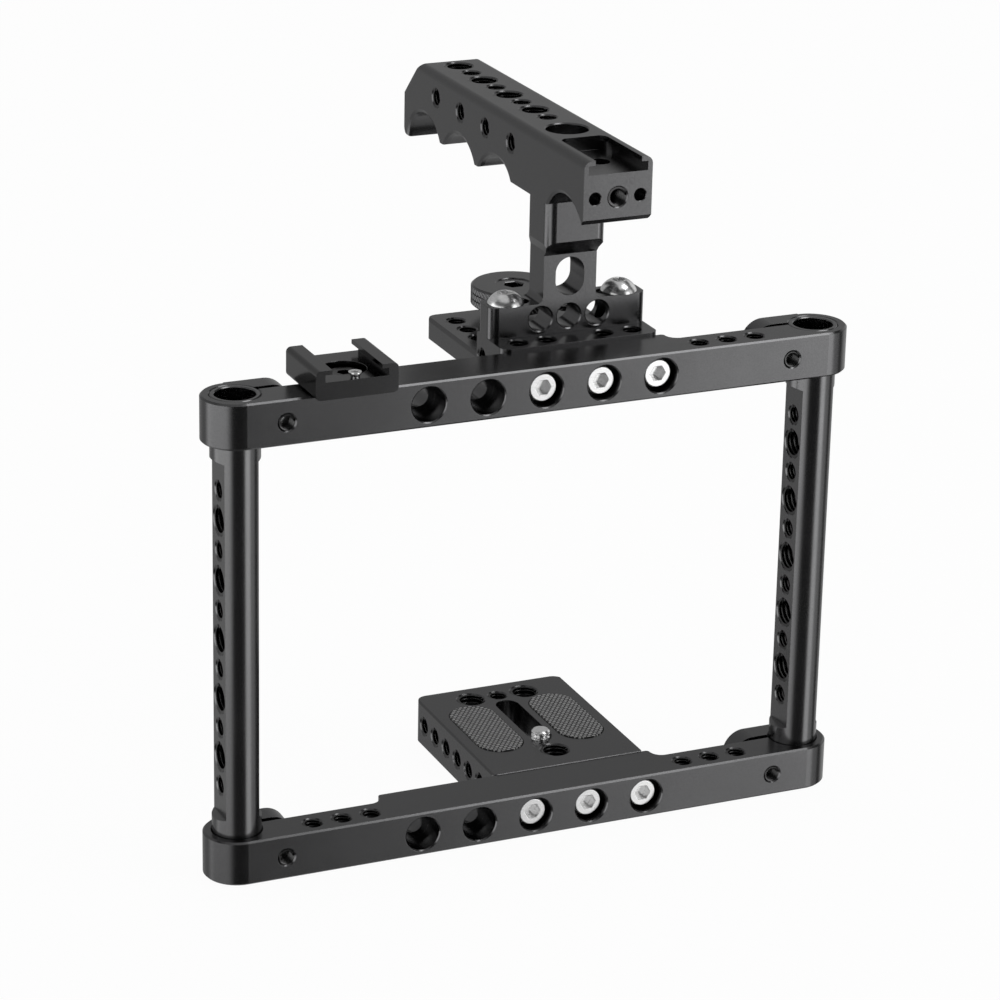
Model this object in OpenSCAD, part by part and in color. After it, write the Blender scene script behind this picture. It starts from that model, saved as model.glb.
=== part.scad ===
// Camera cage: two drilled side rods, two clamped crossbars, a base plate with a
// camera screw, a top plate with a clamping thumbscrew, a riser, a scalloped
// carrying handle and an accessory shoe. Lengths are in millimetres.
// X runs to the right, Y to the back and Z up. The origin lies on the underside
// of the lower crossbar, midway between the rods.

/* [Cage] */
// Distance between the axes of the two rods
rod_span = 200; // [190:1:230]
// Overall height of the cage
cage_h = 162; // [156:1:190]
// Height of each crossbar
bar_h = 15; // [14:0.5:17]
// Outer diameter of the rods
rod_d = 16; // [15:0.5:17]
// Wall of the clamp ring round a rod
ring_wall = 3; // [2.5:0.25:4]
// Depth of a crossbar behind the rod axes, at its middle
bar_back = 6.7; // [6:0.1:8]
// Depth of a crossbar behind the rod axes, near its clamps
waist_back = 1.5; // [1:0.1:2]
// Width of the deep middle of a crossbar
bar_mid_w = 98; // [94:1:104]
// Broken edge along the fronts of the crossbars
bar_edge = 0.6; // [0.3:0.1:1]

/* [Rods] */
// Distance from a rod's axis to its milled flats
flat_at = 5.6; // [5.2:0.1:6.2]
// Gap from a crossbar to the start of the flats
flat_gap = 5; // [3:0.5:7]
// Pitch of the holes along a rod
hole_pitch = 10; // [9.8:0.1:10.4]
// Number of holes in a rod
rod_holes = 11; // [7:2:11]
// Diameter of the sockets in the ends of a rod
end_bore_d = 13; // [10:0.5:13]

/* [Threads] */
// Diameter of the small tapped holes, at the crest of the thread
small_hole_d = 6.4; // [6.2:0.1:6.6]
// Diameter of the large tapped holes, at the crest of the thread
large_hole_d = 9.6; // [9.2:0.1:9.8]
// Width of the chamfer at the mouth of a hole
hole_edge = 0.4; // [0.2:0.1:0.6]
// Diameter of the small screws
small_screw_d = 6.2; // [5.8:0.1:6.2]
// Diameter of the socket heads
cap_head_d = 9.5; // [9:0.1:10]
// Height of the socket heads
cap_head_h = 6.3; // [5.5:0.1:6.5]
// Diameter of the counterbores in the crossbars
counterbore_d = 11.5; // [11:0.1:12]
// Distance from the sides of the plates to their outer screws
plate_hole_inset = 7.5; // [7:0.1:8.5]

/* [Clamps] */
// Width of the slit that closes a clamp ring
slit_w = 2.2; // [1.8:0.1:2.6]
// Distance from a rod's axis to its clamp screw
clamp_offset = 13; // [12.6:0.1:13.4]
// Diameter of a clamp screw
clamp_screw_d = 5; // [4:0.5:5]

/* [Base plate] */
// Width of the base plate and of the top plate
plate_w = 55; // [54:1:60]
// Distance from the rod axes to the back edge of the base plate
base_back = 75; // [74:1:80]
// Width of the slot for the camera screw
slot_w = 8.2; // [7.8:0.1:9]
// Length of the slot for the camera screw
slot_len = 35.7; // [33:0.1:36]
// Width of a grip pad
pad_w = 16; // [14:0.5:16]
// Length of a grip pad
pad_len = 38; // [34:0.5:38.5]
// Height of the camera screw above the base plate
camera_screw_rise = 2.6; // [2:0.1:5]

/* [Top plate] */
// Height of the top plate's front block above the crossbar
block_rise = 1; // [0.5:0.1:2]
// Distance from the rod axes to the back of the front block
block_back = 27.5; // [27:0.1:29]
// Distance from the rod axes to the back edge of the deck
deck_back = 70.5; // [69:0.5:74]
// Thickness of the deck
deck_t = 7; // [6:0.1:8]
// Distance from the rod axes to the thumbscrew
thumb_y = 60.5; // [59:0.5:61]
// Diameter of the thumbscrew's knob
knob_d = 28.4; // [24:0.2:29]
// Height of the thumbscrew's knob
knob_h = 7.1; // [6:0.1:8]
// Gap under the knob at rest
knob_gap = 4.2; // [2:0.1:5]
// Diameter of the thumbscrew's stud
stud_d = 8; // [7:0.5:8]

/* [Riser] */
// Height of the riser's foot
foot_h = 10.5; // [10:0.1:12]
// Depth of the riser's foot and post
post_d = 10.7; // [10:0.1:11]
// Width of the riser's post
post_w = 18.6; // [17:0.1:20]
// Width of the riser's head
head_w = 20.8; // [20.6:0.1:22]
// Depth of the riser's head
head_d = 15.3; // [14:0.1:16]
// Overall height of the riser
riser_h = 45.4; // [44:0.1:52]

/* [Handle] */
// Width of the handle
handle_w = 23.4; // [23:0.1:26]
// Height of the handle over its ridges
handle_h = 20.9; // [20.5:0.1:22]
// Distance from the rod axes forward to the handle's front face
handle_front = 16.3; // [16:0.1:18]
// Distance from the rod axes back to the handle's rear face
handle_back = 128.8; // [128:0.1:132]
// Radius of the finger scallops
scallop_r = 14.2; // [13.8:0.1:14.4]
// Depth of the finger scallops
scallop_depth = 6.4; // [5.5:0.1:6.6]
// Distance between the finger scallops
scallop_pitch = 29.3; // [29:0.1:29.6]
// Pitch of the holes along the top of the handle
handle_pitch = 10.3; // [10.2:0.05:10.4]

/* [Shoe] */
// Width of the accessory shoe
shoe_w = 27.2; // [26:0.1:28]
// Length of the accessory shoe
shoe_len = 26; // [25:0.5:28]
// Height of the accessory shoe
shoe_h = 9.5; // [9:0.1:10.5]
// Thickness of the floor of the shoe
shoe_floor = 5.7; // [5.4:0.1:6]
// Width inside the shoe
shoe_inner_w = 20.9; // [20.5:0.1:21.2]
// Gap between the lips of the shoe
shoe_gap_w = 16.4; // [15:0.1:17]
// Height inside the shoe, under its lips
shoe_slot_h = 2.4; // [2.2:0.1:2.6]

/* [Hidden] */
$fn = 64;

// Overrun of a cut past the face that it opens
over = 1;
// Radial clearance of a screw in its hole, and of a rod in its ring
fit = 0.05;
// Radial clearance of a plain screw hole
loose = 0.3;
// Number of sides of a hexagon
hex_sides = 6;
// Edge broken on small steel parts
steel_edge = 0.4;

// Crossbars
bar_front = rod_d / 2 + ring_wall;
bar_full = bar_front + bar_back;
top_bar_z = cage_h - bar_h;
slit_back = waist_back + slit_w;
ear_t = bar_front - slit_back;
ring_edge = 0.4;
step_h = bar_back - waist_back;
step_hollow_share = 0.77;
step_hollow_r = step_h * step_hollow_share;
step_round_r = step_h - step_hollow_r;
waist_hole_y = (waist_back - bar_front) / 2;
waist_hole_inset = 34;
waist_hole_mid = rod_span / 2 - waist_hole_inset;
waist_hole_first = waist_hole_mid - hole_pitch;
waist_hole_count = 3;
counterbore_share = 0.82;
counterbore_depth = counterbore_share * bar_front;
counterbore_span = 2;
counterbore_pitch = plate_w / 2 - plate_hole_inset;
screw_spread = 1;

// Clamp screws
clamp_head_d = 8.5;
clamp_head_h = clamp_screw_d;
clamp_head_sink = 5.5;
clamp_screw_len = 12.5;
clamp_hole_edge = 0.65;
clamp_hex = 4;
clamp_hex_depth = 2.5;

// Rods
flat_run = 1;
end_bore_depth = 14;
rod_end_edge = 0.3;
rod_hole_z = cage_h / 2 - hole_pitch * (rod_holes - 1) / 2;

// Socket screws of the plates
cap_hex = 4.76;
cap_hex_depth = 3;
plate_screw_len = 14.8;
plate_tap_depth = 6.4;
plate_tap_edge = 0.64;
head_back = counterbore_depth - bar_front;

// Base plate
plate_x = counterbore_pitch;
plate_corner_front = 2.5;
plate_corner_back = 4;
plate_edge = 0.6;
slot_y = 26;
slot_recess_w = 11.2;
slot_recess_back = 0.3;
slot_recess_depth = 6.5;
rear_hole_inset = 8.5;
rear_hole_spread = 10;
rear_recess_d = 12;
rear_recess_depth = 11.5;
front_hole_y = 18.5;
side_hole_pitch = 9.6;
side_hole_count = 6;
side_hole_depth = 7;
pad_offset = 14.9;
pad_y = 42;
pad_t = 1.4;
pad_rise = 0.3;
pad_groove = 0.35;

// Camera screw
camera_head_d = 10.6;
camera_head_h = 3.2;
camera_head_slot_w = 1.6;
camera_head_slot_depth = 1.5;
camera_screw_d = 6.3;
camera_tip_d = 5;
camera_tip_edge = 0.65;
camera_washer_t = 1;
camera_rest_y = slot_y + slot_w / 2;
camera_washer_z = slot_recess_depth - camera_washer_t - fit;
camera_head_z = camera_washer_z - fit - camera_head_h;

// Top plate
deck_drop = 7.7;
block_top = cage_h + block_rise;
deck_top = block_top - deck_drop;
deck_z = deck_top - deck_t;
block_hole_y = 12.3;
block_hole_depth = 4.8;
block_hole_shares = [-2, -1, 1, 2];
block_back_corner = 0.3;
block_side_hole_y = 23.3;
deck_corner = 4;
deck_edge = 1;
deck_hole_back = 62;
deck_hole_pitch = 9.5;
deck_hole_count = 3;
riser_screw_y = 22.1;

// Thumbscrew
knob_z = deck_top + knob_gap;
knob_edge = 0.6;
knob_hex = 6;
knob_hex_depth = 4;
stud_grip = 2.4;
stud_drop = 7;
clamp_foot_d = 12;
clamp_foot_h = 6;
clamp_foot_edge = 1;
ball_d = 5;
neck_d = 4;

// Riser
foot_corner = 3;
foot_fillet = 2.3;
foot_hole_d = 8.1;
foot_hole_rise_share = 0.52;
foot_slot_w = 6.6;
foot_slot_in = 8;
foot_slot_out = 4;
window_w = 10;
window_h = 12.9;
window_z = 18.8;
post_corner = 1.6;
head_corner = 3.2;
head_z = 26.4;
head_side_z = 28;
head_run = 5.4;
head_side_run = 3;
riser_front = block_back - post_d;
riser_z = block_top;

// Button screws of the riser
button_head_d = 12;
button_head_h = 3.5;
button_flat_d = 5.6;
button_hex = 4;
button_hex_depth = 2;
button_screw_len = 17;
button_screw_d = 5.9;

// Handle
handle_z = riser_z + riser_h;
handle_top = handle_z + handle_h;
handle_top_round = 2.6;
handle_low_round = 0.8;
handle_tail_drop = 6;
handle_tail_y = 119;
handle_tail_round = 3;
handle_rear_cut = 12.8;
handle_front_edge = 1.9;
ridge_round = 3;
ridge_steps = 8;
scallop_edge = 1.4;
scallop_first = -2.2;
scallop_second = 52.2;
scallop_rows = 3;
handle_hole_y = 37.2;
handle_hole_count = 8;
handle_hole_depth = 9;
handle_side_y = 39.5;
handle_side_count = 4;
handle_side_z = 12.6;
handle_side_depth = 5.5;
handle_bolt_y = 21.9;
handle_bolt_d = 8;
handle_bolt_head_d = 13;
handle_bolt_head_h = 8;
handle_bolt_seat = 7.4;
handle_bolt_len = 24;
handle_bolt_hex = 6;
handle_bolt_hex_depth = 4;
handle_bore_d = 13.8;
front_hole_z = 8.6;
front_hole_depth = 7.5;
pin_hole_d = 4;
pin_hole_offset = 7.7;
pin_hole_depth = 6;
pocket_back = 11;
pocket_floor_z = 16.3;
pocket_inner_w = 20.2;
pocket_gap_w = 15.8;
pocket_lip = 1.7;
pocket_corner = 3;
pocket_hole_d = 7;

// Shoe
shoe_x = waist_hole_mid;
shoe_front = 16;
shoe_round = 1.6;
shoe_recess_d = 14;
shoe_recess_depth = 1.3;
shoe_recess_edge = 0.1;
shoe_screw_head_d = 10.6;
shoe_screw_head_h = 2.2;
shoe_screw_len = 13;
shoe_screw_hex = 4;
shoe_screw_hex_depth = 1.5;
stop_d = 2.8;
stop_head_d = 4.2;
stop_head_h = 1.4;
stop_head_rim = 0.3;
stop_rise = 1.8;
stop_inset = 2.1;
stop_hex = 2;
stop_hex_depth = 1.2;

// What a countersink takes off the mouth of a bore at z = 0
module mouth_edge(d, edge) {
    translate([0, 0, -edge]) cylinder(h = edge, d1 = d, d2 = d + 2 * edge);
    cylinder(h = over, d = d + 2 * edge);
}

// A round hole along +Z from z = 0 down, with a chamfered mouth
module hole_down(d, depth, edge = hole_edge) {
    translate([0, 0, -depth]) cylinder(h = depth + over, d = d);
    mouth_edge(d, edge);
}

// A round hole along Z through a wall from z = 0 up to z = t, chamfered twice
module hole_through(d, t, edge = hole_edge) {
    translate([0, 0, t]) hole_down(d, t, edge);
    mirror([0, 0, 1]) hole_down(d, edge, edge);
}

// A rectangle between two corners
module span(low, high) {
    translate(low) square(high - low);
}

// A rectangle from the origin with its own radius at the front and at the back
module round_front_back(w, d, front_r, back_r) {
    span([front_r, 0], [w - front_r, d / 2]);
    span([0, front_r], [w, d / 2]);
    span([back_r, d / 2], [w - back_r, d]);
    span([0, d / 2], [w, d - back_r]);
    for (x = [front_r, w - front_r]) translate([x, front_r]) circle(r = front_r);
    for (x = [back_r, w - back_r]) translate([x, d - back_r]) circle(r = back_r);
}

// A stadium along Y, centred on the origin
module stadium(w, len) {
    reach = (len - w) / 2;
    square([w, 2 * reach], center = true);
    for (side = [-1, 1]) translate([0, side * reach]) circle(d = w);
}

// A hexagonal socket that opens upwards at z = 0
module hex_socket(across, depth) {
    hex_share = 1 / cos(180 / hex_sides);
    translate([0, 0, -depth]) cylinder(h = depth + over, d = across * hex_share, $fn = hex_sides);
}

// A cylindrical head from z = 0 up, with a hexagonal socket in its top
module cap_head(d, h, across, depth) {
    difference() {
        union() {
            cylinder(h = h - steel_edge, d = d);
            translate([0, 0, h - steel_edge]) {
                cylinder(h = steel_edge, d1 = d, d2 = d - 2 * steel_edge);
            }
        }
        translate([0, 0, h]) hex_socket(across, depth);
    }
}

// A shank from z = 0 down, with a chamfered end
module shank(d, len) {
    translate([0, 0, steel_edge - len]) cylinder(h = len - steel_edge, d = d);
    translate([0, 0, -len]) cylinder(h = steel_edge, d1 = d - 2 * steel_edge, d2 = d);
}

// A side rod from z = 0 up, with milled flats, cross holes and open ends
module rod() {
    rod_r = rod_d / 2;
    difference() {
        rotate_extrude() {
            polygon([[0, 0], [rod_r - rod_end_edge, 0], [rod_r, rod_end_edge],
                [rod_r, cage_h - rod_end_edge], [rod_r - rod_end_edge, cage_h], [0, cage_h]]);
        }
        for (end = [0, 1]) translate([0, 0, end * cage_h]) mirror([0, 0, 1 - end]) {
            hole_down(end_bore_d, end_bore_depth, rod_end_edge);
        }
        for (side = [-1, 1]) scale([side, 1, 1]) rod_flat();
        for (i = [0 : rod_holes - 1]) {
            d = i % 2 == 0 ? small_hole_d : large_hole_d;
            translate([-flat_at, 0, rod_hole_z + i * hole_pitch]) rotate([0, 90, 0]) {
                hole_through(d, 2 * flat_at);
            }
        }
    }
}

// What the cutter takes off one side of a rod
module rod_flat() {
    low = bar_h + flat_gap;
    high = top_bar_z - flat_gap;
    outer = rod_d / 2 + over;
    rotate([90, 0, 0]) linear_extrude(rod_d + 2 * over, center = true) {
        polygon([[flat_at, low + flat_run], [outer, low], [outer, high],
            [flat_at, high - flat_run]]);
    }
}

module left_rod() {
    color("dimgray") translate([-rod_span / 2, 0, 0]) rod();
}

module right_rod() {
    color("dimgray") translate([rod_span / 2, 0, 0]) rod();
}

// Half of the outline of a crossbar, from its middle to its right end
module bar_half_outline() {
    axis = rod_span / 2;
    wall = bar_mid_w / 2;
    difference() {
        union() {
            span([0, -bar_front], [wall - step_round_r, bar_back]);
            span([0, -bar_front], [wall, bar_back - step_round_r]);
            translate([wall - step_round_r, bar_back - step_round_r]) circle(r = step_round_r);
            span([0, -bar_front], [axis, waist_back]);
            span([wall, 0], [wall + step_hollow_r, waist_back + step_hollow_r]);
            translate([axis, 0]) circle(r = bar_front);
            span([axis - bar_front, slit_back], [axis, bar_front]);
        }
        translate([wall + step_hollow_r, waist_back + step_hollow_r]) circle(r = step_hollow_r);
        translate([axis, 0]) circle(d = rod_d + 2 * fit);
        span([axis - bar_front - over, waist_back], [axis, slit_back]);
    }
}

// The ear of a clamp ring behind the slit, with its end round about the clamp screw
module clamp_ear() {
    reach = clamp_offset - bar_front + ring_wall / 2;
    translate([rod_span / 2 - clamp_offset, bar_front, bar_h / 2]) rotate([90, 0, 0]) {
        linear_extrude(ear_t) {
            circle(d = bar_h);
            span([0, -bar_h / 2], [reach, bar_h / 2]);
        }
    }
}

// The broken edges of a crossbar on its underside, at the front and round the end
module bar_half_edge() {
    axis = rod_span / 2;
    translate([0, -bar_front, 0]) rotate([90, 0, 90]) linear_extrude(axis) {
        polygon([[-over, -over], [bar_edge + over, -over], [-over, bar_edge + over]]);
    }
    translate([axis, 0, 0]) rotate([0, 0, -90]) rotate_extrude(angle = 180) {
        translate([bar_front, 0]) {
            polygon([[over, -over], [over, bar_edge + over], [-bar_edge - over, -over]]);
        }
    }
}

// A crossbar from z = 0 up
module crossbar() {
    difference() {
        union() {
            linear_extrude(bar_h) {
                bar_half_outline();
                mirror([1, 0]) bar_half_outline();
            }
            for (side = [0, 1]) mirror([side, 0, 0]) clamp_ear();
        }
        for (side = [0, 1]) mirror([side, 0, 0]) {
            bar_half_edge();
            translate([0, 0, bar_h]) mirror([0, 0, 1]) bar_half_edge();
            translate([rod_span / 2, 0, bar_h]) mouth_edge(rod_d + 2 * fit, ring_edge);
            translate([rod_span / 2, 0, 0]) mirror([0, 0, 1]) mouth_edge(rod_d + 2 * fit, ring_edge);
            for (i = [0 : waist_hole_count - 1]) {
                translate([waist_hole_first + i * hole_pitch, waist_hole_y, 0]) {
                    hole_through(small_hole_d, bar_h);
                }
            }
            translate([rod_span / 2 - clamp_offset, 0, bar_h / 2]) clamp_cuts();
        }
        for (i = [-counterbore_span : counterbore_span]) {
            translate([i * counterbore_pitch, -bar_front, bar_h / 2]) rotate([90, 0, 0]) {
                hole_down(counterbore_d, counterbore_depth);
                hole_down(small_screw_d + 2 * loose, bar_full + over);
            }
        }
    }
}

// The tapped hole, the plain hole and the head recess of one clamp screw
module clamp_cuts() {
    translate([0, -bar_front, 0]) rotate([90, 0, 0]) {
        hole_down(clamp_screw_d + 2 * fit, 2 * bar_front, clamp_hole_edge);
    }
    translate([0, slit_back, 0]) rotate([-90, 0, 0]) cylinder(h = ear_t, d = clamp_screw_d + 2 * loose);
    translate([0, bar_front - clamp_head_sink, 0]) rotate([-90, 0, 0]) {
        cylinder(h = clamp_head_sink + over, d = clamp_head_d + 2 * loose);
    }
}

module bottom_bar() {
    color([0.2, 0.2, 0.21]) crossbar();
}

module top_bar() {
    color([0.2, 0.2, 0.21]) translate([0, 0, top_bar_z]) crossbar();
}

// Four screws that close the clamp rings, with their heads at the back
module clamp_screws() {
    head_y = bar_front - clamp_head_sink;
    color("silver") {
        for (z = [bar_h / 2, top_bar_z + bar_h / 2], side = [-1, 1]) {
            translate([side * (rod_span / 2 - clamp_offset), head_y, z]) rotate([-90, 0, 0]) {
                cap_head(clamp_head_d, clamp_head_h, clamp_hex, clamp_hex_depth);
                shank(clamp_screw_d, clamp_screw_len);
            }
        }
    }
}

// Screws that hold a plate to the back of a crossbar at height z
module plate_screws(z) {
    for (i = [-screw_spread : screw_spread]) {
        translate([plate_x + i * counterbore_pitch, head_back, z]) rotate([90, 0, 0]) {
            cap_head(cap_head_d, cap_head_h, cap_hex, cap_hex_depth);
            shank(small_screw_d, plate_screw_len);
        }
    }
}

// The holes in a plate's front face for those screws
module plate_screw_holes(z) {
    for (i = [-screw_spread : screw_spread]) {
        translate([plate_x + i * counterbore_pitch, bar_back, z]) rotate([90, 0, 0]) {
            hole_down(small_hole_d, plate_tap_depth, plate_tap_edge);
        }
    }
}

// The plate behind the lower crossbar that the camera stands on
module bottom_plate() {
    depth = base_back - bar_back;
    left = plate_x - plate_w / 2;
    color([0.2, 0.2, 0.21]) difference() {
        translate([left, bar_back, 0]) {
            linear_extrude(bar_h) {
                round_front_back(plate_w, depth, plate_corner_front, plate_corner_back);
            }
        }
        plate_screw_holes(bar_h / 2);
        camera_slot();
        translate([plate_x, front_hole_y, 0]) hole_through(large_hole_d, bar_h);
        translate([plate_x, base_back - rear_hole_inset, 0]) {
            hole_through(small_hole_d, bar_h);
            for (side = [-1, 1]) translate([side * rear_hole_spread, 0, 0]) {
                hole_through(large_hole_d, bar_h);
                translate([0, 0, -over]) cylinder(h = rear_recess_depth + over, d = rear_recess_d);
            }
        }
        for (side = [-1, 1], i = [0 : side_hole_count - 1]) {
            translate([plate_x, front_hole_y + i * side_hole_pitch, bar_h / 2]) {
                rotate([0, side * 90, 0]) translate([0, 0, plate_w / 2]) {
                    hole_down(small_hole_d, side_hole_depth);
                }
            }
        }
        for (side = [-1, 1]) {
            translate([plate_x + side * pad_offset, pad_y, bar_h - pad_t + pad_rise]) {
                linear_extrude(pad_t + over) stadium(pad_w + 2 * pad_groove, pad_len + 2 * pad_groove);
            }
        }
        plate_top_edge(left, depth);
    }
}

// The slot of the camera screw, wider below for its head
module camera_slot() {
    recess_y = slot_y - (slot_recess_w - slot_w) / 2;
    recess_len = slot_y + slot_len + slot_recess_back - recess_y;
    translate([plate_x, slot_y + slot_len / 2, -over]) linear_extrude(bar_h + 2 * over) {
        stadium(slot_w, slot_len);
    }
    translate([plate_x, recess_y + recess_len / 2, -over]) {
        linear_extrude(slot_recess_depth + over) stadium(slot_recess_w, recess_len);
    }
}

// The broken edges along the two sides of the base plate's top
module plate_top_edge(left, depth) {
    for (x = [left, left + plate_w]) translate([x, bar_back - over, bar_h]) {
        rotate([-90, 0, 0]) linear_extrude(depth + 2 * over) {
            polygon([[-plate_edge, 0], [0, plate_edge], [plate_edge, 0], [0, -plate_edge]]);
        }
    }
}

module bottom_plate_screws() {
    color("silver") plate_screws(bar_h / 2);
}

// A rubber pad let into the top of the base plate
module grip_pad(side) {
    translate([plate_x + side * pad_offset, pad_y, bar_h - pad_t + pad_rise]) {
        linear_extrude(pad_t) stadium(pad_w, pad_len);
    }
}

module left_grip_pad() {
    color([0.13, 0.13, 0.13]) grip_pad(-1);
}

module right_grip_pad() {
    color([0.13, 0.13, 0.13]) grip_pad(1);
}

// The screw that goes up into the camera, with a coin slot in its head
module camera_screw() {
    tip_z = bar_h + camera_screw_rise;
    color("silver") translate([plate_x, camera_rest_y, 0]) {
        difference() {
            translate([0, 0, camera_head_z]) cylinder(h = camera_head_h, d = camera_head_d);
            translate([0, 0, camera_head_z + camera_head_slot_depth / 2]) {
                cube([camera_head_d + over, camera_head_slot_w, camera_head_slot_depth],
                    center = true);
            }
        }
        translate([0, 0, tip_z]) mirror([0, 0, 1]) {
            cylinder(h = camera_tip_edge, d1 = camera_tip_d, d2 = camera_screw_d);
            translate([0, 0, camera_tip_edge]) {
                cylinder(h = tip_z - camera_head_z - camera_head_h / 2 - camera_tip_edge,
                    d = camera_screw_d);
            }
        }
    }
}

module camera_screw_washer() {
    color("silver") translate([plate_x, camera_rest_y, camera_washer_z]) difference() {
        cylinder(h = camera_washer_t, d = camera_head_d);
        translate([0, 0, -over]) cylinder(h = camera_washer_t + 2 * over, d = camera_screw_d + 2 * fit);
    }
}

// The plate behind the upper crossbar: a raised front block and a thinner deck
module top_plate() {
    left = plate_x - plate_w / 2;
    block_d = block_back - bar_back;
    deck_front = block_back - deck_corner - over;
    color([0.2, 0.2, 0.21]) difference() {
        union() {
            translate([left, bar_back, deck_z]) linear_extrude(block_top - deck_z) {
                round_front_back(plate_w, block_d, foot_corner, block_back_corner);
            }
            translate([left, deck_front, deck_z]) {
                linear_extrude(deck_t) {
                    round_front_back(plate_w, deck_back - deck_front, deck_edge, deck_corner);
                }
            }
        }
        plate_screw_holes(top_bar_z + bar_h / 2);
        for (i = block_hole_shares) {
            translate([plate_x + i * hole_pitch, block_hole_y, block_top]) {
                hole_down(small_hole_d, block_hole_depth);
            }
        }
        for (side = [-1, 1]) {
            translate([plate_x, block_side_hole_y, deck_top]) rotate([0, side * 90, 0]) {
                translate([0, 0, plate_w / 2]) hole_down(small_hole_d, side_hole_depth);
            }
            translate([plate_x + side * counterbore_pitch, riser_screw_y, block_top]) {
                hole_down(button_screw_d + 2 * fit, block_top - deck_z + over);
            }
            for (i = [0 : deck_hole_count - 1]) {
                y = deck_hole_back - i * deck_hole_pitch;
                translate([plate_x + side * counterbore_pitch, y, deck_z]) {
                    hole_through(small_hole_d, deck_t);
                }
            }
            translate([plate_x + side * plate_w / 2, block_back, deck_top]) {
                rotate([-90, 0, 0]) linear_extrude(deck_back) {
                    polygon([[-deck_edge, 0], [0, deck_edge], [deck_edge, 0], [0, -deck_edge]]);
                }
            }
        }
        translate([plate_x, thumb_y, deck_z]) hole_through(stud_d + 2 * fit, deck_t);
    }
}

module top_plate_screws() {
    color("silver") plate_screws(top_bar_z + bar_h / 2);
}

// The knob of the thumbscrew, with a hexagonal socket for a key
module thumbscrew_knob() {
    rim = knob_d / 2;
    color([0.17, 0.17, 0.18]) translate([plate_x, thumb_y, knob_z]) difference() {
        rotate_extrude() {
            polygon([[0, 0], [rim - knob_edge, 0], [rim, knob_edge], [rim, knob_h - knob_edge],
                [rim - knob_edge, knob_h], [0, knob_h]]);
        }
        translate([0, 0, knob_h]) hex_socket(knob_hex, knob_hex_depth);
        translate([0, 0, -over]) cylinder(h = stud_grip + over, d = stud_d);
    }
}

// The stud below the knob, with a ball end that carries the clamp foot
module thumbscrew_stud() {
    foot_z = deck_z - stud_drop;
    color("silver") translate([plate_x, thumb_y, 0]) {
        translate([0, 0, foot_z]) cylinder(h = knob_z + stud_grip - foot_z, d = stud_d);
        translate([0, 0, foot_z - ball_d]) cylinder(h = ball_d, d = neck_d);
    }
}

// The foot that presses on the camera and doesn't turn with the stud
module clamp_foot() {
    foot_top = deck_z - stud_drop - steel_edge;
    color([0.12, 0.12, 0.12]) translate([plate_x, thumb_y, foot_top - clamp_foot_h]) difference() {
        union() {
            cylinder(h = clamp_foot_edge, d1 = clamp_foot_d - 2 * clamp_foot_edge, d2 = clamp_foot_d);
            translate([0, 0, clamp_foot_edge]) {
                cylinder(h = clamp_foot_h - clamp_foot_edge, d = clamp_foot_d);
            }
        }
        translate([0, 0, clamp_foot_h + steel_edge - ball_d - fit]) {
            cylinder(h = ball_d + over, d = neck_d + 2 * fit);
        }
    }
}

// The riser's outline from the front, with its foot at z = 0
module riser_front_outline() {
    half = post_w / 2;
    half_head = head_w / 2;
    span([-plate_w / 2, 0], [plate_w / 2, foot_h]);
    for (side = [0, 1]) mirror([side, 0]) {
        polygon([[0, 0], [half, 0], [half, head_side_z], [half_head, head_side_z + head_side_run],
            [half_head, riser_h], [0, riser_h]]);
        difference() {
            span([half, foot_h], [half + foot_fillet, foot_h + foot_fillet]);
            translate([half + foot_fillet, foot_h + foot_fillet]) circle(r = foot_fillet);
        }
    }
}

// The riser's outline from the side, with the back of the post at y = 0
module riser_side_outline() {
    polygon([[0, 0], [-post_d, 0], [-post_d, head_z], [-head_d, head_z + head_run],
        [-head_d, riser_h], [0, riser_h]]);
}

// The stand between the top plate and the handle
module riser() {
    color([0.22, 0.22, 0.23]) translate([plate_x, block_back, riser_z]) difference() {
        intersection() {
            rotate([90, 0, 0]) linear_extrude(2 * head_d, center = true) riser_front_outline();
            rotate([90, 0, 90]) linear_extrude(plate_w, center = true) riser_side_outline();
            union() {
                translate([-plate_w / 2, -post_d, 0]) linear_extrude(foot_h) {
                    round_front_back(plate_w, post_d, foot_corner, foot_corner);
                }
                translate([-plate_w / 4, -post_d, 0]) linear_extrude(head_z + foot_fillet) {
                    round_front_back(plate_w / 2, post_d, post_corner, post_corner);
                }
                translate([-head_w / 2, -head_d, head_z]) linear_extrude(riser_h) {
                    round_front_back(head_w, head_d, head_corner, post_corner);
                }
            }
        }
        riser_holes();
    }
}

// The window, the cross holes, the screw slots and the handle's bolt hole
module riser_holes() {
    translate([0, 0, window_z]) rotate([90, 0, 0]) {
        linear_extrude(2 * head_d, center = true) stadium(window_w, window_h);
    }
    for (i = [-1 : 1]) {
        translate([i * hole_pitch, -post_d, foot_hole_rise_share * foot_h]) rotate([-90, 0, 0]) {
            hole_through(foot_hole_d, post_d);
        }
    }
    for (side = [0, 1]) mirror([side, 0, 0]) {
        translate([counterbore_pitch + (foot_slot_out - foot_slot_in) / 2,
            riser_screw_y - block_back, -over]) {
            rotate([0, 0, 90]) linear_extrude(foot_h + 2 * over) {
                stadium(foot_slot_w, foot_slot_in + foot_slot_out);
            }
        }
    }
    translate([0, handle_bolt_y - block_back, riser_h]) {
        hole_down(handle_bolt_d + 2 * fit, handle_bolt_len - handle_bolt_seat + over);
    }
}

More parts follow.
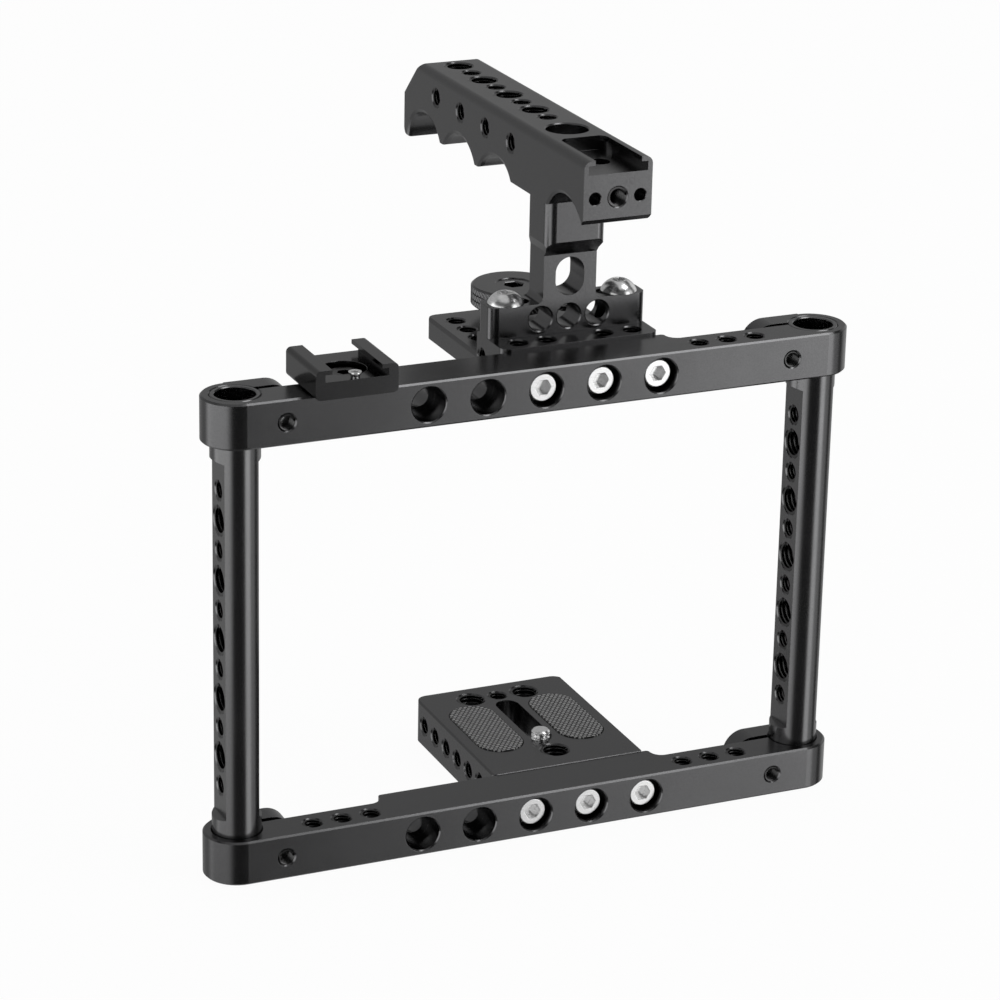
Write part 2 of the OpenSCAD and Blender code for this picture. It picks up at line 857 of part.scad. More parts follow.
// A domed screw head from z = 0 up, with a hexagonal socket
module button_head() {
    rim = button_head_d / 2;
    flat = button_flat_d / 2;
    drop = (rim * rim - flat * flat - button_head_h * button_head_h) / (2 * button_head_h);
    r = sqrt(rim * rim + drop * drop);
    difference() {
        intersection() {
            cylinder(h = button_head_h, r = r);
            translate([0, 0, -drop]) sphere(r = r);
        }
        translate([0, 0, button_head_h]) hex_socket(button_hex, button_hex_depth);
    }
}

module riser_screws() {
    color("silver") for (side = [-1, 1]) {
        translate([plate_x + side * counterbore_pitch, riser_screw_y, riser_z + foot_h]) {
            button_head();
            shank(button_screw_d, button_screw_len);
        }
    }
}

// What one finger scallop takes out of the handle's side outline: a true arc, and
// a short curve that leads on to the ridge in front and, if asked, to the one behind
module scallop_cut(both = true) {
    centre_z = scallop_depth - scallop_r;
    lead_y = sqrt(pow(scallop_r + ridge_round, 2) - pow(ridge_round - centre_z, 2));
    turn = atan2(lead_y, ridge_round - centre_z);
    lead = [for (i = [0 : ridge_steps])
        let (a = turn * (1 - i / ridge_steps), r = i == 0 ? ridge_round + fit : ridge_round)
        [lead_y - r * sin(a), ridge_round - r * cos(a)]];
    rear = both ? concat(lead, [[lead_y, -over]]) : [[0, 0], [0, -over]];
    translate([0, centre_z]) circle(r = scallop_r);
    polygon(concat(rear, [[-lead_y, -over]],
        [for (i = [ridge_steps : -1 : 0]) [-lead[i].x, lead[i].y]]));
}

// The handle's outline from the side, with its ridges at z = 0
module handle_side_outline() {
    low = -handle_tail_drop;
    difference() {
        union() {
            polygon([[-handle_front, handle_front_edge], [handle_front_edge - handle_front, 0],
                [handle_back, 0], [handle_back, handle_h - handle_rear_cut],
                [handle_back - handle_rear_cut, handle_h], [-handle_front, handle_h]]);
            span([handle_tail_y, low], [handle_back - handle_tail_round, 0]);
            span([handle_tail_y, low + handle_tail_round], [handle_back, over]);
            translate([handle_back - handle_tail_round, low + handle_tail_round]) {
                circle(r = handle_tail_round);
            }
        }
        translate([scallop_first, 0]) scallop_cut();
        for (i = [0 : scallop_rows - 1]) translate([scallop_second + i * scallop_pitch, 0]) {
            scallop_cut(i < scallop_rows - 1);
        }
    }
}

// The handle's outline from the front, from its ridges up
module handle_front_outline() {
    translate([handle_w / 2, handle_h]) rotate(180) {
        round_front_back(handle_w, handle_h + handle_tail_drop, handle_top_round, handle_low_round);
    }
}

// The soft edge where a scallop meets the left side of the handle, in two bevels
module scallop_side_edge() {
    centre_z = scallop_depth - scallop_r;
    bevel_share = 1 - cos(45);
    inner = bevel_share * scallop_edge;
    run = scallop_edge / inner - 1;
    translate([-handle_w / 2, 0, centre_z]) rotate([0, 90, 0]) {
        translate([0, 0, -over]) cylinder(h = over, r = scallop_r + scallop_edge);
        cylinder(h = inner, r1 = scallop_r + scallop_edge, r2 = scallop_r + inner);
        translate([0, 0, inner]) {
            cylinder(h = scallop_edge - inner + run * fit, r1 = scallop_r + inner, r2 = scallop_r - fit);
        }
    }
}

// The carrying handle
module handle() {
    color([0.23, 0.23, 0.24]) translate([plate_x, 0, handle_z]) difference() {
        intersection() {
            rotate([90, 0, 90]) linear_extrude(handle_w, center = true) handle_side_outline();
            translate([0, handle_back + over, 0]) rotate([90, 0, 0]) {
                linear_extrude(handle_back + handle_front + 2 * over) handle_front_outline();
            }
        }
        for (y = [scallop_first, for (i = [0 : scallop_rows - 1]) scallop_second + i * scallop_pitch]) {
            translate([0, y, 0]) for (side = [0, 1]) mirror([side, 0, 0]) scallop_side_edge();
        }
        handle_holes();
        shoe_pocket();
    }
}

// The rows of tapped holes and the bolt's seat in the handle
module handle_holes() {
    for (i = [0 : handle_hole_count - 1]) {
        d = i % 2 == 0 ? small_hole_d : large_hole_d;
        translate([0, handle_hole_y + i * handle_pitch, handle_h]) hole_down(d, handle_hole_depth);
    }
    for (side = [-1, 1], i = [0 : handle_side_count - 1]) {
        translate([0, handle_side_y + 2 * i * handle_pitch, handle_side_z]) {
            rotate([0, side * 90, 0]) translate([0, 0, handle_w / 2]) {
                hole_down(small_hole_d, handle_side_depth);
            }
        }
    }
    translate([0, handle_bolt_y, handle_h]) {
        hole_down(handle_bore_d, handle_h - handle_bolt_seat);
        hole_down(handle_bolt_d + 2 * loose, handle_h + over);
    }
    translate([0, -handle_front, front_hole_z]) rotate([90, 0, 0]) {
        hole_down(small_hole_d, front_hole_depth);
        for (side = [-1, 1]) translate([side * pin_hole_offset, 0, 0]) {
            hole_down(pin_hole_d, pin_hole_depth, hole_edge / 2);
        }
    }
}

// The accessory shoe that is milled into the front of the handle
module shoe_pocket() {
    reach = pocket_back + handle_front + over;
    lip_z = handle_h - pocket_lip;
    translate([-pocket_gap_w / 2, -handle_front - over, pocket_floor_z]) {
        linear_extrude(handle_h) round_front_back(pocket_gap_w, reach, hole_edge, pocket_corner);
    }
    translate([-pocket_inner_w / 2, -handle_front - over, pocket_floor_z]) {
        linear_extrude(lip_z - pocket_floor_z) {
            round_front_back(pocket_inner_w, reach, hole_edge, pocket_corner);
        }
    }
    translate([0, scallop_first, 0]) cylinder(h = handle_h, d = pocket_hole_d);
}

// The bolt that holds the handle down on the riser
module handle_screw() {
    color("silver") translate([plate_x, handle_bolt_y, handle_z + handle_bolt_seat]) {
        cap_head(handle_bolt_head_d, handle_bolt_head_h, handle_bolt_hex, handle_bolt_hex_depth);
        shank(handle_bolt_d, handle_bolt_len);
    }
}

// The shoe's outline from the front, with its underside at z = 0
module shoe_outline() {
    lip_z = shoe_floor + shoe_slot_h;
    difference() {
        translate([-shoe_w / 2, 0]) round_front_back(shoe_w, shoe_h, shoe_round, shoe_round);
        span([-shoe_inner_w / 2, shoe_floor], [shoe_inner_w / 2, lip_z]);
        span([-shoe_gap_w / 2, shoe_floor], [shoe_gap_w / 2, shoe_h + over]);
    }
}

// The accessory shoe on the upper crossbar
module cold_shoe() {
    color([0.16, 0.16, 0.17]) translate([-shoe_x, 0, cage_h]) difference() {
        translate([0, shoe_len - shoe_front, 0]) rotate([90, 0, 0]) {
            linear_extrude(shoe_len) shoe_outline();
        }
        translate([0, waist_hole_y, shoe_floor]) {
            hole_down(shoe_recess_d, shoe_recess_depth + shoe_screw_head_h, shoe_recess_edge);
            hole_down(small_screw_d + 2 * loose, shoe_floor + over);
        }
        translate([0, stop_inset - shoe_front, -over]) cylinder(h = shoe_h, d = stop_d + 2 * fit);
    }
}

// The flat screw that holds the shoe down
module shoe_mount_screw() {
    seat = shoe_floor - shoe_recess_depth - shoe_screw_head_h;
    color("silver") translate([-shoe_x, waist_hole_y, cage_h + seat]) {
        cap_head(shoe_screw_head_d, shoe_screw_head_h, shoe_screw_hex, shoe_screw_hex_depth);
        shank(small_screw_d, shoe_screw_len);
    }
}

// The small countersunk screw whose head stops a foot from sliding out of the shoe
module shoe_stop_screw() {
    top = shoe_floor + stop_rise;
    head_r = stop_head_d / 2;
    color("silver") translate([-shoe_x, stop_inset - shoe_front, cage_h]) difference() {
        rotate_extrude() {
            polygon([[0, 0], [stop_d / 2, 0], [stop_d / 2, top - stop_head_h],
                [head_r, top - stop_head_rim], [head_r, top], [0, top]]);
        }
        translate([0, 0, top]) hex_socket(stop_hex, stop_hex_depth);
    }
}

left_rod();
right_rod();
top_bar();
bottom_bar();
clamp_screws();
bottom_plate();
bottom_plate_screws();
left_grip_pad();
right_grip_pad();
camera_screw();
camera_screw_washer();
top_plate();
top_plate_screws();
clamp_foot();
thumbscrew_stud();
thumbscrew_knob();
riser();
riser_screws();
handle();
handle_screw();
cold_shoe();
shoe_mount_screw();
shoe_stop_screw();
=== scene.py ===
import math

import bmesh
import bpy
from mathutils import Matrix, Vector


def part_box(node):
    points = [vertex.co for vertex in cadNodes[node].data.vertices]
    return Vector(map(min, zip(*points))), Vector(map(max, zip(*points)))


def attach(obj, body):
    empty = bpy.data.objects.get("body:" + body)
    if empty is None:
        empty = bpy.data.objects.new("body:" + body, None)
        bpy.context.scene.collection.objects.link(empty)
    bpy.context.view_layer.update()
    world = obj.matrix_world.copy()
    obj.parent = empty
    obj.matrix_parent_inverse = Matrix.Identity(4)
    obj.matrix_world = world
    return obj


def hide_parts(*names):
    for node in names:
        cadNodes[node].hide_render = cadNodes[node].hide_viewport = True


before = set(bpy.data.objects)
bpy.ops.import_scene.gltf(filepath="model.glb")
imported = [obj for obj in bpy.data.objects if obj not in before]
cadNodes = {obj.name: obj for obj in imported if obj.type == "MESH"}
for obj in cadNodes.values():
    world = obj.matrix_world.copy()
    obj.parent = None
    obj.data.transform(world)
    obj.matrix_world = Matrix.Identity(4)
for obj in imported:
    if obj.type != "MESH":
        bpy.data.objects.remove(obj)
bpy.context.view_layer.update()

mm = 0.001
print("frame loaded")


def newFinish(name):
    finish = bpy.data.materials.new(name)
    finish.use_nodes = True
    nodes = finish.node_tree.nodes
    return finish, nodes, finish.node_tree.links, nodes["Principled BSDF"]


def grain(nodes, links, scale, detail=2.0, stretch=(1, 1, 1)):
    coords = nodes.new("ShaderNodeTexCoord")
    mapping = nodes.new("ShaderNodeMapping")
    mapping.inputs["Scale"].default_value = stretch
    noise = nodes.new("ShaderNodeTexNoise")
    noise.inputs["Scale"].default_value = scale
    noise.inputs["Detail"].default_value = detail
    links.new(coords.outputs["Object"], mapping.inputs["Vector"])
    links.new(mapping.outputs["Vector"], noise.inputs["Vector"])
    return noise.outputs["Fac"]


def spread(nodes, links, source, low, high, fromLow=0.3, fromHigh=0.7):
    ranged = nodes.new("ShaderNodeMapRange")
    ranged.inputs["From Min"].default_value = fromLow
    ranged.inputs["From Max"].default_value = fromHigh
    ranged.inputs["To Min"].default_value = low
    ranged.inputs["To Max"].default_value = high
    links.new(source, ranged.inputs["Value"])
    return ranged.outputs["Result"]


def blendColours(nodes, links, factor, first, second):
    mix = nodes.new("ShaderNodeMix")
    mix.data_type = "RGBA"
    mix.inputs["A"].default_value = (*first, 1)
    mix.inputs["B"].default_value = (*second, 1)
    links.new(factor, mix.inputs["Factor"])
    return mix.outputs["Result"]


def softEdgeNormal(nodes, links, height, look):
    edge = nodes.new("ShaderNodeBevel")
    edge.samples = 6
    edge.inputs["Radius"].default_value = look["edge"]
    bump = nodes.new("ShaderNodeBump")
    bump.inputs["Strength"].default_value = look["bumpStrength"]
    bump.inputs["Distance"].default_value = look["bumpDistance"]
    links.new(edge.outputs["Normal"], bump.inputs["Normal"])
    links.new(height, bump.inputs["Height"])
    return bump.outputs["Normal"]


anodised = {
    "dark": (0.095, 0.095, 0.097),
    "light": (0.135, 0.135, 0.137),
    "speckle": 4200,
    "speckleDetail": 1.5,
    "cloud": 38,
    "cloudDetail": 3.0,
    "roughLow": 0.2,
    "roughHigh": 0.26,
    "edge": 0.12 * mm,
    "bumpStrength": 0.25,
    "bumpDistance": 0.01 * mm,
}


def anodisedFinish(name, look):
    finish, nodes, links, shader = newFinish(name)
    shader.inputs["Metallic"].default_value = 1.0
    fine = grain(nodes, links, look["speckle"], look["speckleDetail"])
    cloud = grain(nodes, links, look["cloud"], look["cloudDetail"])
    mottle = spread(nodes, links, fine, 0, 1)
    colour = blendColours(nodes, links, mottle, look["dark"], look["light"])
    links.new(colour, shader.inputs["Base Color"])
    rough = spread(nodes, links, cloud, look["roughLow"], look["roughHigh"])
    links.new(rough, shader.inputs["Roughness"])
    links.new(softEdgeNormal(nodes, links, fine, look), shader.inputs["Normal"])
    return finish


steel = {
    "dark": (0.8, 0.8, 0.8),
    "light": (0.92, 0.92, 0.92),
    "speckle": 500,
    "speckleDetail": 3.0,
    "stretch": (1, 1, 5),
    "roughLow": 0.20,
    "roughHigh": 0.26,
    "edge": 0.25 * mm,
    "bumpStrength": 0.05,
    "bumpDistance": 0.002 * mm,
}


def steelFinish(name, look):
    finish, nodes, links, shader = newFinish(name)
    shader.inputs["Metallic"].default_value = 1.0
    turned = grain(nodes, links, look["speckle"], look["speckleDetail"], look["stretch"])
    mottle = spread(nodes, links, turned, 0, 1)
    colour = blendColours(nodes, links, mottle, look["dark"], look["light"])
    links.new(colour, shader.inputs["Base Color"])
    rough = spread(nodes, links, turned, look["roughLow"], look["roughHigh"])
    links.new(rough, shader.inputs["Roughness"])
    links.new(softEdgeNormal(nodes, links, turned, look), shader.inputs["Normal"])
    return finish


# the grip pads' dashes are much lighter than the near-black rubber: painted highlight on the dash
# tops
gripRubberWithPaintedHighlight = {
    "groove": (0.012, 0.012, 0.012),
    "lighterColour": (0.42, 0.42, 0.42),
    "roughLow": 0.5,
    "roughHigh": 0.68,
    "dashLength": 1.75,
    "rowHeight": 1.15,
    "joint": 0.35,
    "jointSoft": 0.5,
    "shade": (0.75, 0.75, 0.75, 1),
    "wear": 700,
    "wearDetail": 3.0,
    "bumpStrength": 0.8,
    "bumpDistance": 0.2 * mm,
}


def paintedHighlightGripFinish(name, look):
    finish, nodes, links, shader = newFinish(name)
    coords = nodes.new("ShaderNodeTexCoord")
    dashes = nodes.new("ShaderNodeTexBrick")
    dashes.inputs["Scale"].default_value = 1 / mm
    dashes.inputs["Mortar Size"].default_value = look["joint"]
    dashes.inputs["Mortar Smooth"].default_value = look["jointSoft"]
    dashes.inputs["Brick Width"].default_value = look["dashLength"]
    dashes.inputs["Row Height"].default_value = look["rowHeight"]
    dashes.inputs["Color1"].default_value = (1, 1, 1, 1)
    dashes.inputs["Color2"].default_value = look["shade"]
    dashes.inputs["Mortar"].default_value = (0, 0, 0, 1)
    links.new(coords.outputs["Object"], dashes.inputs["Vector"])
    # the dash pattern blends in the painted highlight on the dash tops
    links.new(
        blendColours(nodes, links, dashes.outputs["Color"], look["groove"], look["lighterColour"]),
        shader.inputs["Base Color"],
    )
    wear = grain(nodes, links, look["wear"], look["wearDetail"])
    rough = spread(nodes, links, wear, look["roughLow"], look["roughHigh"])
    links.new(rough, shader.inputs["Roughness"])
    bump = nodes.new("ShaderNodeBump")
    bump.inputs["Strength"].default_value = look["bumpStrength"]
    bump.inputs["Distance"].default_value = look["bumpDistance"]
    links.new(dashes.outputs["Color"], bump.inputs["Height"])
    links.new(bump.outputs["Normal"], shader.inputs["Normal"])
    return finish


footRubber = {
    "groove": (0.012, 0.012, 0.012),
    "lighterColour": (0.03, 0.03, 0.03),
    "roughLow": 0.5,
    "roughHigh": 0.68,
    "skin": 2600,
    "edge": 0.3 * mm,
    "bumpStrength": 0.2,
    "bumpDistance": 0.05 * mm,
}


def plainRubberFinish(name, look):
    finish, nodes, links, shader = newFinish(name)
    skin = grain(nodes, links, look["skin"])
    mottle = spread(nodes, links, skin, 0, 1)
    colour = blendColours(nodes, links, mottle, look["groove"], look["lighterColour"])
    links.new(colour, shader.inputs["Base Color"])
    rough = spread(nodes, links, skin, look["roughLow"], look["roughHigh"])
    links.new(rough, shader.inputs["Roughness"])
    links.new(softEdgeNormal(nodes, links, skin, look), shader.inputs["Normal"])
    return finish


blackFinish = anodisedFinish("blackAnodised", anodised)
shoeBlack = {
    **anodised,
    "dark": (0.065, 0.065, 0.066),
    "light": (0.085, 0.085, 0.086),
    "roughLow": 0.13,
    "roughHigh": 0.17,
}
shoeFinish = anodisedFinish("shoeBlack", shoeBlack)
rodBlack = {**anodised, "dark": (0.125, 0.125, 0.127), "light": (0.165, 0.165, 0.167)}
rodFinish = anodisedFinish("rodBlack", rodBlack)
# the threads are coloured darker than the anodised finish: painted shade inside the tapped holes
threadPaintedShade = {
    **anodised,
    "dark": (0.05, 0.05, 0.05),
    "light": (0.08, 0.08, 0.08),
    "roughLow": 0.2,
    "roughHigh": 0.25,
}
threadPaintedShadeFinish = anodisedFinish("threadPaintedShade", threadPaintedShade)
steelLook = steelFinish("polishedSteel", steel)
blackenedSteel = {**steel, "dark": (0.03, 0.03, 0.03), "light": (0.07, 0.07, 0.07)}
blackSteelLook = steelFinish("blackenedSteel", blackenedSteel)
paintedHighlightGrip = paintedHighlightGripFinish("gripRubberPaintedHighlight", gripRubberWithPaintedHighlight)
footFinish = plainRubberFinish("footRubber", footRubber)

nodeFinishes = {
    "cold_shoe": shoeFinish,
    "left_rod": rodFinish,
    "right_rod": rodFinish,
    "clamp_screws": steelLook,
    "bottom_plate_screws": steelLook,
    "top_plate_screws": steelLook,
    "camera_screw": steelLook,
    "camera_screw_washer": steelLook,
    "thumbscrew_stud": steelLook,
    "riser_screws": steelLook,
    "handle_screw": steelLook,
    "shoe_stop_screw": steelLook,
    "shoe_mount_screw": blackSteelLook,
    "left_grip_pad": paintedHighlightGrip,
    "right_grip_pad": paintedHighlightGrip,
    "clamp_foot": footFinish,
}
for nodeName, node in cadNodes.items():
    node.data.materials.clear()
    node.data.materials.append(nodeFinishes.get(nodeName, blackFinish))
print("finishes made")


meshing = {"merge": 0.002 * mm, "shortest": 0.001 * mm, "sharpDegrees": 32}


def newPiece(name, mesh, body, finish, smooth=True):
    bmesh.ops.remove_doubles(mesh, verts=mesh.verts, dist=meshing["merge"])
    bmesh.ops.dissolve_degenerate(mesh, edges=mesh.edges, dist=meshing["shortest"])
    bmesh.ops.recalc_face_normals(mesh, faces=mesh.faces)
    data = bpy.data.meshes.new(name)
    mesh.to_mesh(data)
    mesh.free()
    for face in data.polygons:
        face.use_smooth = smooth
    piece = bpy.data.objects.new(name, data)
    bpy.context.scene.collection.objects.link(piece)
    data.materials.append(finish)
    if smooth:
        data.set_sharp_from_angle(angle=math.radians(meshing["sharpDegrees"]))
    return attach(piece, body)


def facing(place, axis):
    turn = Vector((0, 0, 1)).rotation_difference(Vector(axis))
    return Matrix.Translation(Vector(place) * mm) @ turn.to_matrix().to_4x4()


# a thread's depth and the heights of its flanks, as shares of its pitch
threadForm = {"depth": 0.54, "flanks": (0.06, 0.44, 0.56, 0.94)}


def addThread(mesh, place, axis, radius, depth, pitch, start=0.0, outside=False, segments=30):
    # a helical ridge from the mouth at `place` inwards, against `axis`
    height = threadForm["depth"] * pitch
    crest = radius if outside else radius - height
    root = radius - height if outside else radius
    at = facing(place, axis)
    profile = list(zip((root, crest, crest, root), threadForm["flanks"]))
    steps = math.ceil((depth - start) / pitch + 1) * segments
    before = None
    for i in range(steps + 1):
        angle = 2 * math.pi * i / segments
        base = start + pitch * (i / segments - 1)
        ring = []
        for r, share in profile:
            z = min(max(base + share * pitch, start), depth)
            ring.append(
                mesh.verts.new(at @ (Vector((r * math.cos(angle), r * math.sin(angle), -z)) * mm))
            )
        if before:
            for k in range(len(profile) - 1):
                mesh.faces.new((before[k], ring[k], ring[k + 1], before[k + 1]))
        before = ring


# tapped holes; the edge is the countersink that a thread leaves clear
threads = {
    "small": {"radius": 3.19, "pitch": 1.27},
    "large": {"radius": 4.79, "pitch": 1.5875},
    "clamp": {"radius": 2.54, "pitch": 0.8},
    "edge": 0.35,
}


def threadedHoles(name, holes):
    mesh = bmesh.new()
    for kind, place, axis, depth, through in holes:
        end = depth - threads["edge"] if through else depth
        size = threads[kind]
        addThread(mesh, place, axis, size["radius"], end, size["pitch"], threads["edge"])
    # the threads carry the darker colour, a painted shade inside the holes
    return newPiece(name, mesh, "frame", threadPaintedShadeFinish)


cage = {
    "rodX": 100,
    "rodHoleFirst": 31,
    "rodHoles": 11,
    "pitch": 10,
    "flatAt": 5.6,
    "barHeight": 15,
    "topBarZ": 147,
    "barFront": -11,
    "waistY": -4.75,
    "waistX": (56, 66, 76),
    "clampX": 87,
    "clampTip": 4.0,
}

rodHoles = {side: [] for side in (-1, 1)}
for side in rodHoles:
    for i in range(cage["rodHoles"]):
        kind = "large" if i % 2 else "small"
        z = cage["rodHoleFirst"] + i * cage["pitch"]
        mouth = (side * cage["rodX"] - cage["flatAt"], 0, z)
        rodHoles[side].append((kind, mouth, (-1, 0, 0), 2 * cage["flatAt"], True))
threadedHoles("leftRodThreads", rodHoles[-1])
threadedHoles("rightRodThreads", rodHoles[1])

for name, low in (("bottomBarThreads", 0), ("topBarThreads", cage["topBarZ"])):
    holes = []
    for side in (-1, 1):
        for x in cage["waistX"]:
            mouth = (side * x, cage["waistY"], low + cage["barHeight"])
            holes.append(("small", mouth, (0, 0, 1), cage["barHeight"], True))
        mouth = (side * cage["clampX"], cage["barFront"], low + cage["barHeight"] / 2)
        holes.append(("clamp", mouth, (0, -1, 0), cage["clampTip"], False))
    threadedHoles(name, holes)

plates = {
    "middle": 20,
    "half": 27.5,
    "baseTop": 15,
    "frontHoleY": 18.5,
    "rearHoleY": 66.5,
    "rearRecess": 3.5,
    "sideHoles": 6,
    "sideStep": 9.6,
    "sideDepth": 6.6,
    "blockTop": 163,
    "blockHoleY": 12.3,
    "blockDepth": 4.8,
    "deckTop": 155.3,
    "deckThick": 7,
    "deckHoleY": (62, 52.5, 43),
    "deckSideY": 23.3,
}
holes = [
    (kind, (plates["middle"], y, plates["baseTop"]), (0, 0, 1), plates["baseTop"], True)
    for kind, y in (("large", plates["frontHoleY"]), ("small", plates["rearHoleY"]))
]
for side in (-1, 1):
    mouth = (plates["middle"] + side * cage["pitch"], plates["rearHoleY"], plates["baseTop"])
    holes.append(("large", mouth, (0, 0, 1), plates["rearRecess"], False))
    for i in range(plates["sideHoles"]):
        y = plates["frontHoleY"] + i * plates["sideStep"]
        mouth = (plates["middle"] + side * plates["half"], y, plates["baseTop"] / 2)
        holes.append(("small", mouth, (side, 0, 0), plates["sideDepth"], False))
threadedHoles("basePlateThreads", holes)

holes = []
for side in (-1, 1):
    for step in (1, 2):
        x = plates["middle"] + side * step * cage["pitch"]
        mouth = (x, plates["blockHoleY"], plates["blockTop"])
        holes.append(("small", mouth, (0, 0, 1), plates["blockDepth"], False))
    for y in plates["deckHoleY"]:
        mouth = (plates["middle"] + side * 2 * cage["pitch"], y, plates["deckTop"])
        holes.append(("small", mouth, (0, 0, 1), plates["deckThick"], True))
    mouth = (plates["middle"] + side * plates["half"], plates["deckSideY"], plates["deckTop"])
    holes.append(("small", mouth, (side, 0, 0), plates["sideDepth"], False))
threadedHoles("topPlateThreads", holes)

grip = {
    "top": 229.3,
    "half": 11.7,
    "topHoles": 8,
    "topFirst": 37.2,
    "pitch": 10.3,
    "topDepth": 8.8,
    "sideHoles": 4,
    "sideFirst": 39.5,
    "sideZ": 221,
    "sideDepth": 5.3,
    "front": -16.3,
    "frontZ": 217,
    "frontDepth": 7.3,
}
holes = []
for i in range(grip["topHoles"]):
    kind = "large" if i % 2 else "small"
    mouth = (plates["middle"], grip["topFirst"] + i * grip["pitch"], grip["top"])
    holes.append((kind, mouth, (0, 0, 1), grip["topDepth"], False))
for side in (-1, 1):
    for i in range(grip["sideHoles"]):
        y = grip["sideFirst"] + 2 * i * grip["pitch"]
        mouth = (plates["middle"] + side * grip["half"], y, grip["sideZ"])
        holes.append(("small", mouth, (side, 0, 0), grip["sideDepth"], False))
mouth = (plates["middle"], grip["front"], grip["frontZ"])
holes.append(("small", mouth, (0, -1, 0), grip["frontDepth"], False))
threadedHoles("handleThreads", holes)
print("threads cut")


def addTurned(mesh, at, rows, segments):
    # rows of (height, radius or radius at an angle); the ends stay open
    rings = []
    for z, radiusAt in rows:
        ring = []
        for i in range(segments):
            angle = 2 * math.pi * i / segments
            r = radiusAt(angle) if callable(radiusAt) else radiusAt
            ring.append(
                mesh.verts.new(at @ (Vector((r * math.cos(angle), r * math.sin(angle), z)) * mm))
            )
        rings.append(ring)
    for low, high in zip(rings, rings[1:]):
        for i in range(segments):
            j = (i + 1) % segments
            mesh.faces.new((low[i], low[j], high[j], high[i]))
    return rings


knob = {
    "radius": 14.2,
    "edge": 0.6,
    "edgeShare": 0.9,
    "edgeInset": 0.15,
    "faceInset": 0.1,
    "teeth": 54,
    "depth": 0.42,
    "steepness": 1.6,
    "bands": 3,
    "band": 1.66,
    "groove": 0.46,
    "grooveDepth": 0.5,
    "grooveWall": 0.08,
    "lean": 0.5,
    "dish": (6.2, 5.9),
    "dishDepth": 0.35,
    "hex": 6,
    "hexEdge": 0.3,
    "hexStart": 0.65,
    "hexDepth": 4,
    "rowsPerBand": 6,
    "perTooth": 6,
}


def knurlRadius(share):
    # one diagonal tooth form, leaning with the height in its band
    def radiusAt(angle):
        turn = angle * knob["teeth"] / (2 * math.pi) + knob["lean"] * share
        tooth = abs((turn % 1) * 2 - 1)
        return knob["radius"] - knob["depth"] * (1 - min(1, tooth * knob["steepness"]))

    return radiusAt


def knobMesh():
    low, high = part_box("thumbscrew_knob")
    middle = (low + high) / 2
    at = Matrix.Translation((middle.x, middle.y, low.z))
    height = (high.z - low.z) / mm
    mesh = bmesh.new()
    radius, edge = knob["radius"], knob["edge"]
    faceRadius = radius - edge - knob["faceInset"]
    edgeRadius, edgeHeight = radius - knob["edgeInset"], edge * knob["edgeShare"]
    grooveRadius, wall = radius - knob["grooveDepth"], knob["grooveWall"]
    rows = [(0, faceRadius), (edgeHeight, edgeRadius)]
    z = edge
    for band in range(knob["bands"]):
        for row in range(knob["rowsPerBand"] + 1):
            share = row / knob["rowsPerBand"]
            rows.append((z + share * knob["band"], knurlRadius(share * 2)))
        z += knob["band"]
        if band < knob["bands"] - 1:
            rows.append((z + wall, grooveRadius))
            z += knob["groove"]
            rows.append((z - wall, grooveRadius))
    rows.append((height - edgeHeight, edgeRadius))
    rows.append((height, faceRadius))
    segments = knob["teeth"] * knob["perTooth"]
    rings = addTurned(mesh, at, rows, segments)
    # the top face has a shallow dish with a hexagonal socket, the bottom face is closed
    corner = knob["hex"] / math.sqrt(3)

    def hexRadius(angle):
        local = (angle % (math.pi / 3)) - math.pi / 6
        return corner * math.cos(math.pi / 6) / math.cos(local)

    dishFloor = height - knob["dishDepth"]
    socketRows = [
        (height, knob["dish"][0]),
        (dishFloor, knob["dish"][1]),
        (dishFloor, lambda angle: hexRadius(angle) + knob["hexEdge"]),
        (height - knob["hexStart"], hexRadius),
        (height - knob["hexDepth"], hexRadius),
    ]
    socket = addTurned(mesh, at, socketRows, segments)
    for i in range(segments):
        j = (i + 1) % segments
        mesh.faces.new((rings[-1][i], rings[-1][j], socket[0][j], socket[0][i]))
    mesh.faces.new(socket[-1])
    mesh.faces.new(rings[0])
    piece = newPiece("knurledKnob", mesh, "thumbscrew", blackFinish)
    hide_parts("thumbscrew_knob")
    return piece


knobMesh()


# the finger ridges hang lower than the handle's front foot
ridges = {
    "below": 216.35,
    "drop": 1.9,
    "start": 38,
    "full": 55,
    "tailStart": 113,
    "tailEnd": 125,
    "tailShare": 0.4,
}


def easeShare(value, nothing, full):
    share = min(max((value - nothing) / (full - nothing), 0), 1)
    return share * share * (3 - 2 * share)


def handleMesh():
    data = cadNodes["handle"].data.copy()
    for vert in data.vertices:
        y = vert.co.y / mm
        if vert.co.z / mm < ridges["below"] and y > ridges["start"]:
            tail = easeShare(y, ridges["tailStart"], ridges["tailEnd"])
            share = easeShare(y, ridges["start"], ridges["full"]) * (
                1 - tail * (1 - ridges["tailShare"])
            )
            vert.co.z -= share * ridges["drop"] * mm
    piece = bpy.data.objects.new("scallopedHandle", data)
    bpy.context.scene.collection.objects.link(piece)
    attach(piece, "frame")
    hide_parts("handle")
    return piece


handleMesh()

seam = {"inset": 1.2, "half": 0.3, "rise": 0.32}


